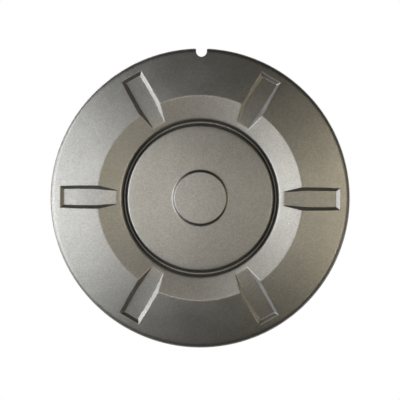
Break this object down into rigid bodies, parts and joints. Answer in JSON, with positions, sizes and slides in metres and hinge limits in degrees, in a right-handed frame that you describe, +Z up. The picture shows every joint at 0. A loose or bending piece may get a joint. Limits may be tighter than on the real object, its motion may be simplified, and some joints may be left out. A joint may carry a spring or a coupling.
{
  "type": "hubcap",
  "caption": "Round clip-on plastic hubcap in dark metallic grey: domed outer band with recessed radial pockets, inner cone, grooved centre disc, plain boss, rim notch, hooked legs behind.",
  "frame": {"origin": "on the cap's axis, in the plane of the rim's rear edge, which seats on the wheel", "axes": "+Y along the axis towards the wheel, so the face looks along -Y; +Z up, through the removal notch; +X to the right as seen from the front"},
  "size_m": [0.216, 0.0267, 0.2159],
  "materials": {
    "metallic_grey_paint": "semi-gloss dark silver-grey metallic paint with a fine flake"
  },
  "bodies": {
    "root": {"wheel_cap": "metallic_grey_paint"}
  },
  "joints": []
}
